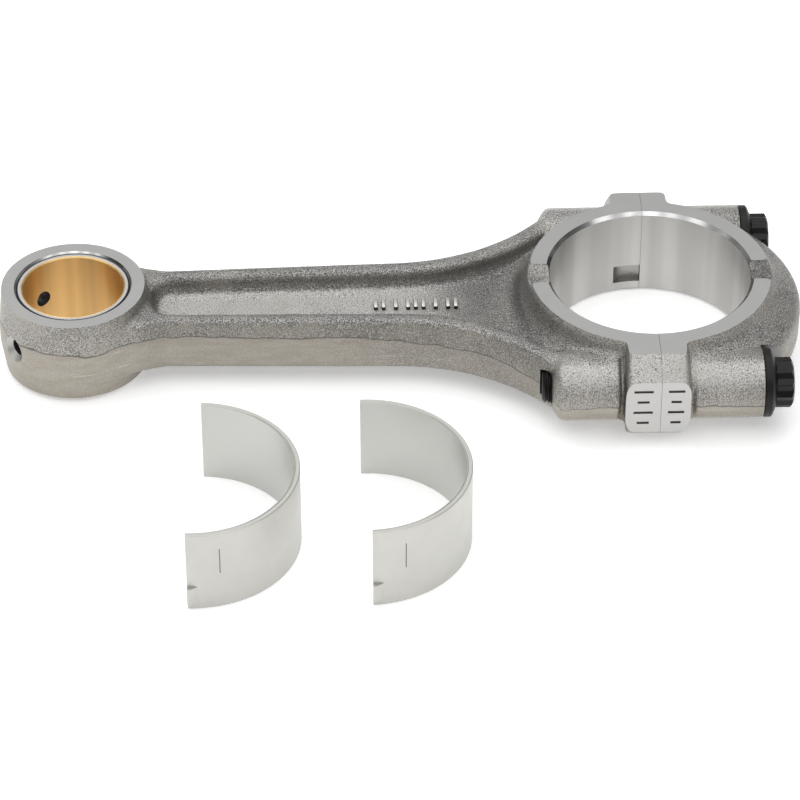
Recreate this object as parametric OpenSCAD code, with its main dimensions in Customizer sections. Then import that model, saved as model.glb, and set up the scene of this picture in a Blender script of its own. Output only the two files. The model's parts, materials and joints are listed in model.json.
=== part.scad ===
// Connecting rod of a small diesel engine: forged rod with a bushed small end,
// a bolted bearing cap and the two half bearing shells laid out beside it.
// The big end bore centre is the origin, the rod lies along X and both bores run along Z.

/* [Rod] */
// Distance between the small end and big end bore centres
centre_distance = 172; // [145:1:210]
// Depth of the shank section over its ribs
shank_t = 17; // [14:0.5:20]
// Width of the shank where it leaves the small end
shank_w = 25.6; // [21:0.2:31]
// Widening of the shank over its length, each side
shank_taper = 3; // [1:0.2:4]
// Radius of the flare from the shank to the bolt bosses
flare_r = 60; // [48:1:75]
// Width of each rib beside the channel
rib_w = 4.6; // [3.5:0.1:5.6]
// Thickness of the web between the two channels
web_t = 7.2; // [6.2:0.2:9]
// Height of the raised forging marks on the web
forging_mark_h = 0.6; // [0.3:0.1:1]

/* [Small end] */
// Bore of the bush for the piston pin
pin_bore_d = 30; // [25:0.5:36]
// Wall of the bush, lining and steel back together
bush_wall = 2; // [1.6:0.1:2.6]
// Thickness of the bronze lining of the bush
bush_lining_t = 0.6; // [0.4:0.05:0.9]
// Radial width of the machined face round the bush
small_face_w = 4.35; // [3.4:0.1:5.2]
// Thickness of the small end over its faces
small_end_t = 26; // [21:0.5:28]
// Diameter of the two oil holes
oil_hole_d = 5; // [4:0.1:6]
// Diameter of the countersink at the mouth of each oil hole
oil_mouth_d = 7.6; // [6.5:0.1:9]
// Angle of each oil hole from the tip of the rod
oil_angle = 42; // [30:1:55]

/* [Big end] */
// Bore of the housing for the bearing shells
housing_d = 60; // [50:0.5:72]
// Thickness of the big end over its thrust faces
big_end_t = 29; // [24:0.5:34]
// Chamfer of the housing bore
housing_chamfer = 1; // [0.5:0.1:1.5]
// Radial width of the thrust face, chamfer included
thrust_w = 5.75; // [4.8:0.1:6.6]
// Radial wall of the cap at its crown
crown_wall = 15.3; // [13:0.1:18]
// Width of the rough groove across the thrust face
face_groove_w = 9.8; // [8:0.1:12]
// Depth of the rough groove across the thrust face
face_groove_depth = 0.8; // [0.4:0.1:1.2]
// Width of the machined pad beside the parting line
pad_w = 19.4; // [16:0.2:22]
// Reach of the pad beyond the bolt axis
pad_reach = 11; // [10.6:0.1:13]
// Depth of the match marks on the pads
match_mark_depth = 0.3; // [0.1:0.05:0.5]
// Clearance left at each seat between parts that come apart
seat_gap = 0.05; // [0.02:0.01:0.08]

/* [Bolts] */
// Thread diameter of the cap bolts
bolt_d = 10; // [8:0.5:12]
// Metal between the housing bore and each bolt
bolt_wall = 1.5; // [1:0.1:3]
// Diameter of the bolt flange
flange_d = 20.2; // [18:0.2:24]
// Thickness of the bolt flange
flange_t = 3.8; // [3:0.1:5]
// Width across the flats of the twelve-point head
head_af = 13; // [11:0.1:15]
// Height of the twelve-point head above the flange
head_h = 5.2; // [4:0.1:7]
// Length of the rod boss behind the parting line
rod_boss_l = 31.5; // [28:0.5:35]
// Length of the cap boss under the bolt flange
cap_boss_l = 30.3; // [26:0.5:34]

/* [Bearing shells] */
// Wall of a bearing shell, lining and steel back together
shell_wall = 1.8; // [1.5:0.05:2.4]
// Thickness of the lining of a bearing shell
shell_lining_t = 0.4; // [0.25:0.05:0.6]
// Width of a bearing shell along the crankpin
shell_w = 26; // [22:0.5:28]
// Height of the locating tang on a shell
tang_h = 5.6; // [4:0.1:7]
// Clearance of the tang in its notch, each side
tang_clearance = 0.45; // [0.2:0.05:0.8]
// Distance from the bolt bosses to the shells laid out beside the rod
lay_out_gap = 9; // [4:1:30]

/* [Hidden] */
$fn = 96;
eps = 0.01;
over = 1;

bolt_r = bolt_d / 2;
bolt_y = housing_d / 2 + bolt_wall + bolt_r;
boss_r = flange_d / 2 + 0.15;
thread_r = bolt_r + 0.05;
clearance_r = bolt_r + 0.35;
waist_r = bolt_r - 0.75;
thread_l = 24;
pilot_l = 8;
bolt_reach = rod_boss_l + 2.5;
runout_l = 10;
seat_x = cap_boss_l + seat_gap;
head_x = seat_x + flange_t;
bolt_chamfer = 0.8;

housing_r = housing_d / 2;
thrust_r = housing_r + thrust_w;
crown_r = housing_r + crown_wall;
half_t = big_end_t / 2;
side_drop = 1;
skirt_h = 4.5;
rod_ring_r = thrust_r + 4.3;
spot_r = flange_d / 2 + 1;
pad_y = bolt_y + pad_reach;
pad_flat_h = 18;
pad_corner = 3.2;
pad_top_w = pad_w - 3;
pad_top_y = pad_y - 6.5;
groove_l = rod_ring_r - housing_r + over;

tang_offset = 8.7;
tang_depth = 1.3;
notch_h = tang_h + 2 * tang_clearance;
notch_l = 8.2;
notch_depth = tang_depth + 0.5;

small_x = -centre_distance;
pin_r = pin_bore_d / 2;
bush_r = pin_r + bush_wall;
bush_l = small_end_t - 1;
bush_chamfer = 0.5;
seat_chamfer = 0.35;
small_face_r = bush_r + small_face_w;
small_r = small_face_r + 1.25;
small_half_t = small_end_t / 2;
small_skirt_h = 8;

shank_y = shank_w / 2;
shank_end_y = shank_y + shank_taper;
flare_x = -(rod_boss_l + 46);
channel_depth = (shank_t - web_t) / 2;
channel_x = small_x + small_r + 3.5;
channel_end_r = 6;
neck_r = 14;

shell_r = housing_r;
shell_in_r = shell_r - shell_wall;
shell_lining_r = shell_in_r + shell_lining_t;
floor_z = -half_t;
shell_y = -(bolt_y + boss_r + lay_out_gap + shell_r);
upper_shell_x = -135;
lower_shell_x = -86.5;
upper_shell_turn = -3.6;
lower_shell_turn = 2.3;
tang_l = 5;

steel = [0.62, 0.61, 0.59];
cap_steel = [0.66, 0.65, 0.63];
bolt_black = [0.12, 0.12, 0.12];
bush_steel = [0.78, 0.78, 0.78];
bronze = [0.82, 0.62, 0.34];
shell_steel = [0.80, 0.80, 0.78];
shell_alloy = [0.72, 0.72, 0.70];

// A tube along Z, centred on the mid plane
module tube_z(r_out, r_in, l) {
    difference() {
        cylinder(r = r_out, h = l, center = true);
        cylinder(r = r_in, h = l + 2 * over, center = true);
    }
}

// A round bar along X from x0 to x1 on the axis of the bolt at y
module bar_x(y, r, x0, x1) {
    translate([x0, y, 0])
        rotate([0, 90, 0])
            cylinder(r = r, h = x1 - x0);
}

// A block that keeps the cap side or the rod side of the parting plane
module half_space(side) {
    big = 4 * crown_r + centre_distance * 2;
    translate([side * (big / 2 + seat_gap / 2), 0, 0])
        cube(big, center = true);
}

// Housing bore with its two chamfers
module housing_bore() {
    cylinder(r = housing_r, h = big_end_t + 2 * over, center = true);
    for (s = [-1, 1])
        translate([0, 0, s * (half_t - housing_chamfer / 2)])
            cylinder(
                r1 = housing_r + (s < 0 ? housing_chamfer + eps : 0),
                r2 = housing_r + (s > 0 ? housing_chamfer + eps : 0),
                h = housing_chamfer + eps, center = true);
}

// The ring round the housing bore, out to radius r at the mid plane
module big_ring(r) {
    rotate_extrude()
        polygon([
            [0, -half_t], [thrust_r, -half_t], [thrust_r + side_drop, -half_t + side_drop],
            [r - 1, -skirt_h - 2.5], [r, -skirt_h], [r, skirt_h], [r - 1, skirt_h + 2.5],
            [thrust_r + side_drop, half_t - side_drop], [thrust_r, half_t], [0, half_t]
        ]);
}

// The lug beside the parting line, from the thrust face down to the milled pad
module pad_lug(side) {
    hull() {
        translate([-pad_top_w / 2, side > 0 ? 0 : -pad_top_y, -half_t])
            cube([pad_top_w, pad_top_y, big_end_t]);
        translate([0, side > 0 ? pad_y - eps : -pad_y, 0])
            rotate([-90, 0, 0])
                linear_extrude(eps)
                    pad_outline();
    }
}

// The octagonal outline of the milled pad
module pad_outline() {
    w = pad_w / 2;
    h = pad_flat_h / 2;
    c = pad_corner;
    polygon([
        [-w, -h + c], [-w + c, -h], [w - c, -h], [w, -h + c],
        [w, h - c], [w - c, h], [-w + c, h], [-w, h - c]
    ]);
}

// Rough grooves across the thrust faces on the long axis
module face_grooves(side) {
    for (s = [-1, 1])
        translate([
            side * (housing_r + groove_l / 2 - over / 2), 0,
            s * (half_t - face_groove_depth / 2 + over / 2)
        ])
            cube([groove_l + over, face_groove_w, face_groove_depth + over], center = true);
}

// Plain match marks cut into the pads on one side of the parting line
module match_marks(side) {
    for (i = [0:3])
        translate([
            side * pad_w / 4,
            -pad_y + match_mark_depth / 2 - over / 2,
            pad_flat_h / 2 - 3.6 - 3.6 * i
        ])
            cube([3.6, match_mark_depth + over, 0.7], center = true);
}

// Outline of the shank and its flare, moved inwards by inset on the flanks
module shank_outline(inset, x_start) {
    y0 = shank_y - inset;
    y1 = shank_end_y - inset;
    reach = bolt_y + boss_r * 0.5;
    difference() {
        polygon([
            [x_start, -y0], [flare_x, -y1], [flare_x, -reach], [-rod_boss_l, -reach],
            [0, -reach], [0, reach], [-rod_boss_l, reach], [flare_x, reach],
            [flare_x, y1], [x_start, y0]
        ]);
        for (s = [-1, 1])
            translate([flare_x, s * (shank_end_y + flare_r)])
                circle(r = flare_r + inset, $fn = 180);
    }
}

// One channel of the shank, with a round end behind the small end
module channel() {
    y0 = shank_y - rib_w;
    difference() {
        linear_extrude(channel_depth + over)
            union() {
                shank_outline(rib_w, channel_x + channel_end_r);
                translate([channel_x + channel_end_r, 0])
                    intersection() {
                        scale([channel_end_r / y0, 1])
                            circle(r = y0);
                        translate([-2 * y0, -y0])
                            square([2 * y0, 2 * y0]);
                    }
            }
        translate([0, 0, -over])
            cylinder(r = rod_ring_r, h = shank_t);
        for (s = [-1, 1])
            translate([-rod_boss_l - 1, s * bolt_y, 0])
                rotate([0, 90, 0])
                    cylinder(r = boss_r, h = rod_boss_l);
    }
}

// Raised forging marks on the web
module forging_marks() {
    for (i = [0:4])
        translate([flare_x - 4 + 5.2 * i, -1.6, web_t / 2 - eps])
            cube([i % 2 == 0 ? 3.2 : 1.4, 3.2, forging_mark_h]);
}

// The small end before its bore is cut
module small_end_blank() {
    translate([small_x, 0, 0])
        rotate_extrude()
            polygon([
                [0, -small_half_t], [small_face_r, -small_half_t],
                [small_r, -small_skirt_h], [small_r, small_skirt_h],
                [small_face_r, small_half_t], [0, small_half_t]
            ]);
}

// The bore of the small end with its chamfers
module small_end_bore() {
    translate([small_x, 0, 0]) {
        cylinder(r = bush_r, h = small_end_t + 2 * over, center = true);
        for (s = [-1, 1])
            translate([0, 0, s * (small_half_t - seat_chamfer / 2)])
                cylinder(
                    r1 = bush_r + (s < 0 ? seat_chamfer : 0),
                    r2 = bush_r + (s > 0 ? seat_chamfer : 0),
                    h = seat_chamfer + eps, center = true);
    }
}

// One oil hole through the wall of the small end
module oil_hole(side) {
    translate([small_x, 0, 0])
        rotate([0, 0, 180 + side * oil_angle])
            rotate([0, 90, 0]) {
                cylinder(d = oil_hole_d, h = small_r + over);
                translate([0, 0, small_r - 1.6])
                    cylinder(d1 = oil_hole_d, d2 = oil_mouth_d, h = 1.7);
            }
}

// Forged rod: small end, shank and the rod half of the big end
module rod_body() {
    color(steel)
    difference() {
        union() {
            small_end_blank();
            difference() {
                union() {
                    translate([0, 0, -shank_t / 2])
                        linear_extrude(shank_t)
                            shank_outline(0, small_x);
                    neck_fillets();
                }
                translate([0, 0, web_t / 2])
                    channel();
                mirror([0, 0, 1])
                    translate([0, 0, web_t / 2])
                        channel();
            }
            forging_marks();
            intersection() {
                union() {
                    big_ring(rod_ring_r);
                    for (s = [-1, 1]) {
                        bar_x(s * bolt_y, boss_r, -rod_boss_l, 0);
                        pad_lug(s);
                    }
                }
                half_space(-1);
            }
        }
        half_space(1);
        translate([-seat_gap / 2, -2 * crown_r, -big_end_t])
            cube([over, 4 * crown_r, 2 * big_end_t]);
        housing_bore();
        face_grooves(-1);
        match_marks(-1);
        for (s = [-1, 1]) {
            bar_x(s * bolt_y, thread_r, -bolt_reach - runout_l, over);
            oil_hole(s);
        }
        tang_notch();
        small_end_bore();
    }
}

// Fillets that lead the flanks of the shank into the small end
module neck_fillets() {
    d = sqrt(pow(small_r + neck_r, 2) - pow(shank_y + neck_r, 2));
    translate([small_x, 0, -shank_t / 2])
        linear_extrude(shank_t)
            difference() {
                translate([0, -shank_y - 3])
                    square([d, 2 * shank_y + 6]);
                for (s = [-1, 1])
                    translate([d, s * (shank_y + neck_r)])
                        circle(r = neck_r);
            }
}

// Notch for the tang of the upper shell, in the far wall of the rod half
module tang_notch() {
    translate([-notch_l, housing_r - 3, -tang_offset - notch_h / 2])
        cube([notch_l + over, 3 + notch_depth, notch_h]);
}

// Notch for the tang of the lower shell, in the near wall of the cap
module cap_tang_notch() {
    translate([-over, -housing_r - notch_depth, -tang_offset - notch_h / 2])
        cube([notch_l + over, 3 + notch_depth, notch_h]);
}

// Forged bearing cap with its crown, bolt bosses and spot faces
module rod_cap() {
    color(cap_steel)
    difference() {
        intersection() {
            union() {
                big_ring(crown_r);
                for (s = [-1, 1]) {
                    bar_x(s * bolt_y, boss_r, 0, cap_boss_l);
                    pad_lug(s);
                }
            }
            half_space(1);
        }
        housing_bore();
        face_grooves(1);
        match_marks(1);
        cap_tang_notch();
        for (s = [-1, 1]) {
            bar_x(s * bolt_y, clearance_r, -over, cap_boss_l + over);
            bar_x(s * bolt_y, spot_r, cap_boss_l, crown_r + over);
            translate([cap_boss_l, s > 0 ? bolt_y : -bolt_y - 2 * spot_r, -half_t])
                cube([crown_r, 2 * spot_r, big_end_t]);
        }
    }
}

// Twelve-point head made of two hexagons
module twelve_point(h) {
    for (a = [0, 30])
        rotate([0, 0, a])
            cylinder(r = head_af / 2 / cos(30), h = h, $fn = 6);
}

// Flanged cap bolt along X, its flange seated on the cap boss
module cap_bolt(side) {
    color(bolt_black)
    translate([seat_x, side * bolt_y, 0])
        rotate([0, 90, 0]) {
            cylinder(r1 = flange_d / 2, r2 = flange_d / 2 - 0.4, h = flange_t);
            translate([0, 0, flange_t - eps])
                intersection() {
                    twelve_point(head_h + eps);
                    cylinder(r1 = head_af, r2 = head_af / 2 - 0.4, h = head_h + 8);
                }
            translate([0, 0, -pilot_l])
                cylinder(r = bolt_r, h = pilot_l);
            translate([0, 0, -(seat_x + bolt_reach - thread_l)])
                cylinder(r = waist_r, h = seat_x + bolt_reach - thread_l);
            translate([0, 0, -(seat_x + bolt_reach - bolt_chamfer)])
                cylinder(r = bolt_r, h = thread_l - bolt_chamfer);
            translate([0, 0, -(seat_x + bolt_reach)])
                cylinder(r1 = bolt_r - bolt_chamfer, r2 = bolt_r, h = bolt_chamfer + eps);
        }
}

module cap_bolt_near() {
    cap_bolt(-1);
}

module cap_bolt_far() {
    cap_bolt(1);
}

// Steel back of the small end bush
module small_end_bush_back() {
    color(bush_steel)
    difference() {
        translate([small_x, 0, 0])
            rotate_extrude()
                translate([0, -bush_l / 2])
                    polygon([
                        [pin_r + bush_lining_t, 0], [bush_r - bush_chamfer, 0],
                        [bush_r, bush_chamfer], [bush_r, bush_l - bush_chamfer],
                        [bush_r - bush_chamfer, bush_l], [pin_r + bush_lining_t, bush_l]
                    ]);
        oil_hole(-1);
        oil_hole(1);
    }
}

// Bronze lining of the small end bush
module small_end_bush_lining() {
    color(bronze)
    difference() {
        translate([small_x, 0, 0])
            tube_z(pin_r + bush_lining_t, pin_r, bush_l);
        oil_hole(-1);
        oil_hole(1);
    }
}

// Half of a tube, open towards -X, standing on the floor
module half_tube(r_out, r_in) {
    translate([0, 0, floor_z + shell_w / 2])
        intersection() {
            tube_z(r_out, r_in, shell_w);
            translate([0, -2 * r_out, -shell_w])
                cube([2 * r_out, 4 * r_out, 2 * shell_w]);
        }
}

// Steel back of a bearing shell with its locating tang
module shell_back(x, turn) {
    color(shell_steel)
    translate([x, shell_y, 0])
        rotate([0, 0, turn]) {
            half_tube(shell_r, shell_lining_r);
            translate([0, -shell_r - tang_depth, floor_z + shell_w / 2 - tang_offset - tang_h / 2])
                cube([tang_l, tang_depth + shell_wall * 0.5, tang_h]);
        }
}

// Lining of a bearing shell
module shell_lining(x, turn) {
    color(shell_alloy)
    translate([x, shell_y, 0])
        rotate([0, 0, turn])
            half_tube(shell_lining_r, shell_in_r);
}

module upper_shell_back() {
    shell_back(upper_shell_x, upper_shell_turn);
}

module upper_shell_lining() {
    shell_lining(upper_shell_x, upper_shell_turn);
}

module lower_shell_back() {
    shell_back(lower_shell_x, lower_shell_turn);
}

module lower_shell_lining() {
    shell_lining(lower_shell_x, lower_shell_turn);
}

rod_body();
rod_cap();
cap_bolt_near();
cap_bolt_far();
small_end_bush_back();
small_end_bush_lining();
upper_shell_back();
upper_shell_lining();
lower_shell_back();
lower_shell_lining();
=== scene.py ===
"""Finished looks of a forged connecting rod, its bolted cap and its two loose bearing shells."""

import json
import math

import bmesh
import bpy
from bpy.props import FloatProperty, FloatVectorProperty, IntProperty, PointerProperty
from bpy.types import Operator, Panel, PropertyGroup
from mathutils import Matrix, Vector


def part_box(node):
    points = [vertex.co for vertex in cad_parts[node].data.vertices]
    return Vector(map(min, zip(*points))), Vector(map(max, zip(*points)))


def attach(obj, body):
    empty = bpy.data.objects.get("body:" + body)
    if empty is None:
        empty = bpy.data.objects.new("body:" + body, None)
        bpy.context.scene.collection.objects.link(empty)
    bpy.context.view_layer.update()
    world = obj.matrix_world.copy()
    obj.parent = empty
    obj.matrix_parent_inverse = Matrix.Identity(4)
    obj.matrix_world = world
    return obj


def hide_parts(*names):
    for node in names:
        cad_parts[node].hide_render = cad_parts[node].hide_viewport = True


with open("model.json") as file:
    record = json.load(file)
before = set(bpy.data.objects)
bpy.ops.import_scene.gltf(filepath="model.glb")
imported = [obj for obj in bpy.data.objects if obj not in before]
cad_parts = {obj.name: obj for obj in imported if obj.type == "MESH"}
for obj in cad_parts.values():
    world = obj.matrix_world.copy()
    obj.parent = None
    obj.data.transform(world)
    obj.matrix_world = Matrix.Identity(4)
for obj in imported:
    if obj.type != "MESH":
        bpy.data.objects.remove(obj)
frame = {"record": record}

bl_info = {
    "name": "Connecting Rod",
    "version": (1, 0, 0),
    "blender": (4, 5, 0),
    "location": "3D View > Sidebar > Connecting Rod",
    "description": "Builds a forged connecting rod with its cap, bolts, bush and bearing shells",
    "category": "Object",
}

MM = 0.001
WELD = 1e-6
ROUND = 192
RIDGE = 0.62  # height of the thread over its pitch
OVER = 2 * MM

MOUNTS = {mount["name"]: mount for mount in frame["record"]["mounts"]}
HOUSING_R = MOUNTS["big_end_bore"]["dims"]["r_mm"] * MM
PIN_R = MOUNTS["small_end_bore"]["dims"]["r_mm"] * MM
BUSH_L = MOUNTS["small_end_bore"]["dims"]["length_mm"] * MM
SMALL_X = MOUNTS["small_end_bore"]["pos_m"][0]
HALF_T = MOUNTS["thrust_face_top"]["pos_m"][2]
SMALL_HALF_T = MOUNTS["small_end_face_top"]["pos_m"][2]
ROD_LOW, ROD_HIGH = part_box("rod_body")
BOLT_LOW, BOLT_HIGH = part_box("cap_bolt_far")
BUSH_LOW, BUSH_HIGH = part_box("small_end_bush_back")
LINING_LOW, LINING_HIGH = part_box("small_end_bush_lining")
SMALL_R = SMALL_X - ROD_LOW.x
BOSS_END = BOLT_LOW.x + 6 * MM
CROWN_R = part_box("rod_cap")[1].x
PAD_Y = ROD_HIGH.y
BOLT_Y = (BOLT_LOW.y + BOLT_HIGH.y) / 2
FLANGE_R = (BOLT_HIGH.y - BOLT_LOW.y) / 2
BUSH_R = (BUSH_HIGH.x - BUSH_LOW.x) / 2
BUSH_LINING_R = (LINING_HIGH.x - LINING_LOW.x) / 2
SHELL_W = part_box("upper_shell_lining")[1].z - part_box("upper_shell_lining")[0].z
FLOOR_Z = ROD_LOW.z


def length(label, about, millimetres):
    """A size in the settings, given in millimetres and kept in metres."""
    return FloatProperty(
        name=label, description=about, default=millimetres * MM, unit="LENGTH", precision=5
    )


def degrees(label, about, angle):
    """An angle in the settings, given in degrees and kept in radians."""
    return FloatProperty(name=label, description=about, default=math.radians(angle), unit="ROTATION")


def colour(label, about, red, green, blue):
    """A colour in the settings."""
    return FloatVectorProperty(
        name=label,
        description=about,
        default=(red, green, blue),
        min=0,
        max=1,
        size=3,
        subtype="COLOR",
    )


def amount(label, about, value):
    """A plain number in the settings."""
    return FloatProperty(name=label, description=about, default=value)


class ForgingSettings(PropertyGroup):
    """Sizes of the forged shapes before machining."""

    shank_w: length("Shank width", "Width of the shank beside the small end", 25.6)
    shank_taper: length("Shank taper", "Widening of the shank over its length, each side", 3.0)
    shank_t: length("Shank depth", "Depth of the shank over its ribs", 16.7)
    rib_w: length("Rib width", "Width of each rib beside the channel", 4.6)
    web_t: length("Web thickness", "Thickness of the web between the channels", 7.2)
    flare_start: length("Flare start", "Distance behind the rod bosses where the flare starts", 46.0)
    flare_r: length("Flare radius", "Radius of the flare from shank to bosses", 60.0)
    neck_r: length("Neck radius", "Radius that leads the shank into the small end", 55.0)
    rib_spread: length("Rib spread", "Widening of each rib towards the flare", 1.6)
    channel_gap: length("Channel gap", "Metal between the small end and the channel", 0.8)
    channel_corner: length("Channel corner", "Radius of the channel's corners", 6.6)
    rod_boss_l: length("Rod boss length", "Length of the rod's bolt bosses", 31.5)
    cap_boss_l: length("Cap boss length", "Length of the cap's bolt bosses", 30.3)
    boss_margin: length("Boss margin", "Metal outside the bolt flange", 0.15)
    boss_valley: length("Boss valley", "Depth of the valley between boss and pad", 3.0)
    boss_valley_w: length("Boss valley width", "Width of the valley between boss and pad", 1.3)
    boss_taper: length("Boss taper", "Length of the taper at the end of the rod bosses", 2.6)
    thrust_w: length("Thrust face width", "Radial width of the thrust face", 5.75)
    ring_step: length("Ring step", "Drop outside the thrust face", 1.0)
    ring_fillet: length("Ring fillet", "Radius that leads the rod's ring into the web", 8.5)
    skirt_h: length("Skirt height", "Half height of the upright side of the big end", 4.5)
    groove_w: length("Groove width", "Width of the rough groove across the thrust face", 9.8)
    groove_depth: length("Groove depth", "Depth of the rough groove across the thrust face", 0.8)
    rod_pad_w: length("Rod pad width", "Width of the milled pad on the rod half", 10.4)
    cap_pad_w: length("Cap pad width", "Width of the milled pad on the cap half", 8.8)
    pad_h: length("Pad height", "Height of the milled pad", 18.0)
    pad_corner_w: length("Pad corner width", "Cut of the milled pad's corners, across", 2.0)
    pad_corner_h: length("Pad corner height", "Cut of the milled pad's corners, upwards", 4.4)
    pad_step: length("Pad step", "Set-back of the pad's top edge from its flat", 6.5)
    small_face_w: length("Small face width", "Radial width of the small end's face", 4.35)
    band_proud: length("Trim band", "How far the trimmed band stands proud", 0.3)
    stock: length("Stock", "Metal left on for machining", 1.6)
    voxel: length("Voxel", "Size of the cells the forging is rounded in", 0.62)
    rounding: IntProperty(name="Rounding", description="Passes that round the forging", default=20)
    unevenness: length("Unevenness", "Depth of the forging's slow waves", 0.14)


class MachiningSettings(PropertyGroup):
    """Sizes of the machined features."""

    housing_chamfer: length("Housing chamfer", "Chamfer of the housing bore", 1.0)
    seat_chamfer: length("Seat chamfer", "Chamfer of the bush seat", 0.5)
    parting_gap: length("Parting gap", "Width of the parting line", 0.09)
    thread_clearance: length("Thread clearance", "Radial clearance in the rod's holes", 0.05)
    hole_clearance: length("Hole clearance", "Radial clearance in the cap's holes", 0.35)
    hole_runout: length("Hole runout", "Drilling past the end of the bolt", 0.5)
    spot_margin: length("Spot face margin", "Room round the bolt flange", 1.0)
    oil_hole_d: length("Oil hole", "Diameter of the oil holes", 5.0)
    oil_mouth_d: length("Oil mouth", "Diameter of the countersinks", 7.6)
    oil_angle: degrees("Oil hole angle", "Angle of each oil hole from the middle of the two", 43.0)
    oil_turn: degrees("Oil hole turn", "Turn of both oil holes from the rod's tip", -5.0)
    notch_l: length("Notch length", "Length of the tang notch along the bore", 8.2)
    notch_h: length("Notch height", "Height of the tang notch", 6.1)
    notch_depth: length("Notch depth", "Greatest depth of the tang notch", 2.3)
    tang_offset: length("Tang offset", "Distance of the tangs below the mid plane", 7.9)
    mark_depth: length("Mark depth", "Depth of the match marks", 0.3)


class BoltSettings(PropertyGroup):
    """Sizes of the cap bolts."""

    thread_d: length("Thread", "Outer diameter of the thread", 10.0)
    pitch: length("Pitch", "Pitch of the thread", 1.25)
    thread_l: length("Thread length", "Length of the thread", 24.0)
    pilot_l: length("Pilot length", "Full shank under the flange", 8.0)
    waist_d: length("Waist", "Diameter of the bolt's waist", 8.5)
    flange_t: length("Flange", "Thickness of the flange", 3.8)
    head_af: length("Head width", "Width over flats of the head", 13.0)


class ShellSettings(PropertyGroup):
    """Sizes of the bearing shells."""

    wall: length("Wall", "Wall of the shell, lining and back", 1.8)
    lining: length("Lining", "Thickness of the lining", 0.4)
    edge: length("Edge", "Chamfer along the shell's edges", 0.18)
    tang_l: length("Tang length", "Length of the tang round the shell", 3.0)
    tang_h: length("Tang height", "Height of the tang", 5.6)
    tang_depth: length("Tang depth", "How far the tang stands out", 1.1)
    upper_turn: degrees("Upper turn", "Turn of the upper shell on the bench", -3.6)
    lower_turn: degrees("Lower turn", "Turn of the lower shell on the bench", 2.3)
    scribe_angle: degrees("Scribed line", "Place of the scribed line round the back", -72.0)


class FinishSettings(PropertyGroup):
    """Colours and grain of every surface."""

    forge_light: colour("Forging", "Blasted forging, raised grain", 0.72, 0.71, 0.685)
    # The pit colour is also what painted shade darkens towards, on the forging, the die marks and the
    # holes.
    forge_dark: colour("Forging pits", "Blasted forging, pits", 0.11, 0.108, 0.103)
    forge_warm: colour("Forging tint", "Warm tint of the forging", 0.40, 0.365, 0.31)
    trim: colour("Trimmed band", "Smoother band left by trimming", 0.445, 0.415, 0.365)
    ground: colour("Ground faces", "Ground faces", 0.47, 0.47, 0.462)
    pad: colour("Milled pads", "Milled pads", 0.58, 0.575, 0.56)
    bright: colour("Bright edges", "Fresh chamfers", 0.46, 0.46, 0.46)
    bored: colour("Bored walls", "Bored and honed walls", 0.70, 0.69, 0.665)
    bronze: colour("Bronze", "Lining of the bush", 0.93, 0.66, 0.31)
    bush: colour("Bush back", "Steel back of the bush", 0.70, 0.70, 0.70)
    black: colour("Black oxide", "Bolt heads", 0.005, 0.005, 0.005)
    black_warm: colour("Oiled oxide", "Bolt flanges and shanks", 0.009, 0.008, 0.007)
    shell_back: colour("Shell back", "Flashed steel back of the shells", 0.60, 0.595, 0.56)
    shell_lining: colour("Shell lining", "Running surface of the shells", 0.54, 0.54, 0.515)
    # The marks' colour is also used for painted shade in holes and gaps.
    mark: colour("Marks", "Filling of the match marks", 0.03, 0.028, 0.026)
    grain: length("Grain", "Size of the blasted grain", 0.42)


class StageSettings(PropertyGroup):
    """Camera, floor and light."""

    azimuth: degrees("Azimuth", "Direction of the camera round the rod", -1.53)
    elevation: degrees("Elevation", "Height of the camera above the horizon", 37.95)
    roll: degrees("Roll", "Tilt of the camera", -0.11)
    distance: length("Distance", "Distance of the camera", 1100.0)
    lens: amount("Lens", "Focal length in millimetres", 169.85)
    aim_x: length("Aim X", "Point the camera looks at, along the rod", -75.8)
    aim_y: length("Aim Y", "Point the camera looks at, across the rod", -41.7)
    floor: colour("Floor", "Pale floor", 0.92, 0.92, 0.92)
    walls: amount("Walls", "Glow of the walls all round", 0.16)
    ceiling: amount("Ceiling", "Glow of the ceiling above the walls", 1.5)
    back: amount("Back wall", "Glow of the wall behind the rod", 0.46)
    key: amount("Key light", "Power of the key light in watts", 1.2)
    fill: amount("Fill light", "Power of the fill light in watts", 0.3)


class ConnectingRodSettings(PropertyGroup):
    """Everything a user may change, by group."""

    forging: PointerProperty(type=ForgingSettings)
    machining: PointerProperty(type=MachiningSettings)
    bolt: PointerProperty(type=BoltSettings)
    shell: PointerProperty(type=ShellSettings)
    finish: PointerProperty(type=FinishSettings)
    stage: PointerProperty(type=StageSettings)


# ---------------------------------------------------------------- solids


def solid(name, bm, *materials):
    """Closes a bmesh into an object whose place is in its mesh."""
    bmesh.ops.remove_doubles(bm, verts=bm.verts, dist=WELD)
    bmesh.ops.recalc_face_normals(bm, faces=bm.faces)
    mesh = bpy.data.meshes.new(name)
    bm.to_mesh(mesh)
    bm.free()
    for material in materials:
        mesh.materials.append(material)
    obj = bpy.data.objects.new(name, mesh)
    bpy.context.collection.objects.link(obj)
    return obj


def settle(obj):
    """Makes the result of the modifiers the object's own mesh."""
    graph = bpy.context.evaluated_depsgraph_get()
    mesh = bpy.data.meshes.new_from_object(obj.evaluated_get(graph))
    obj.modifiers.clear()
    old = obj.data
    obj.data = mesh
    bpy.data.meshes.remove(old)


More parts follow.
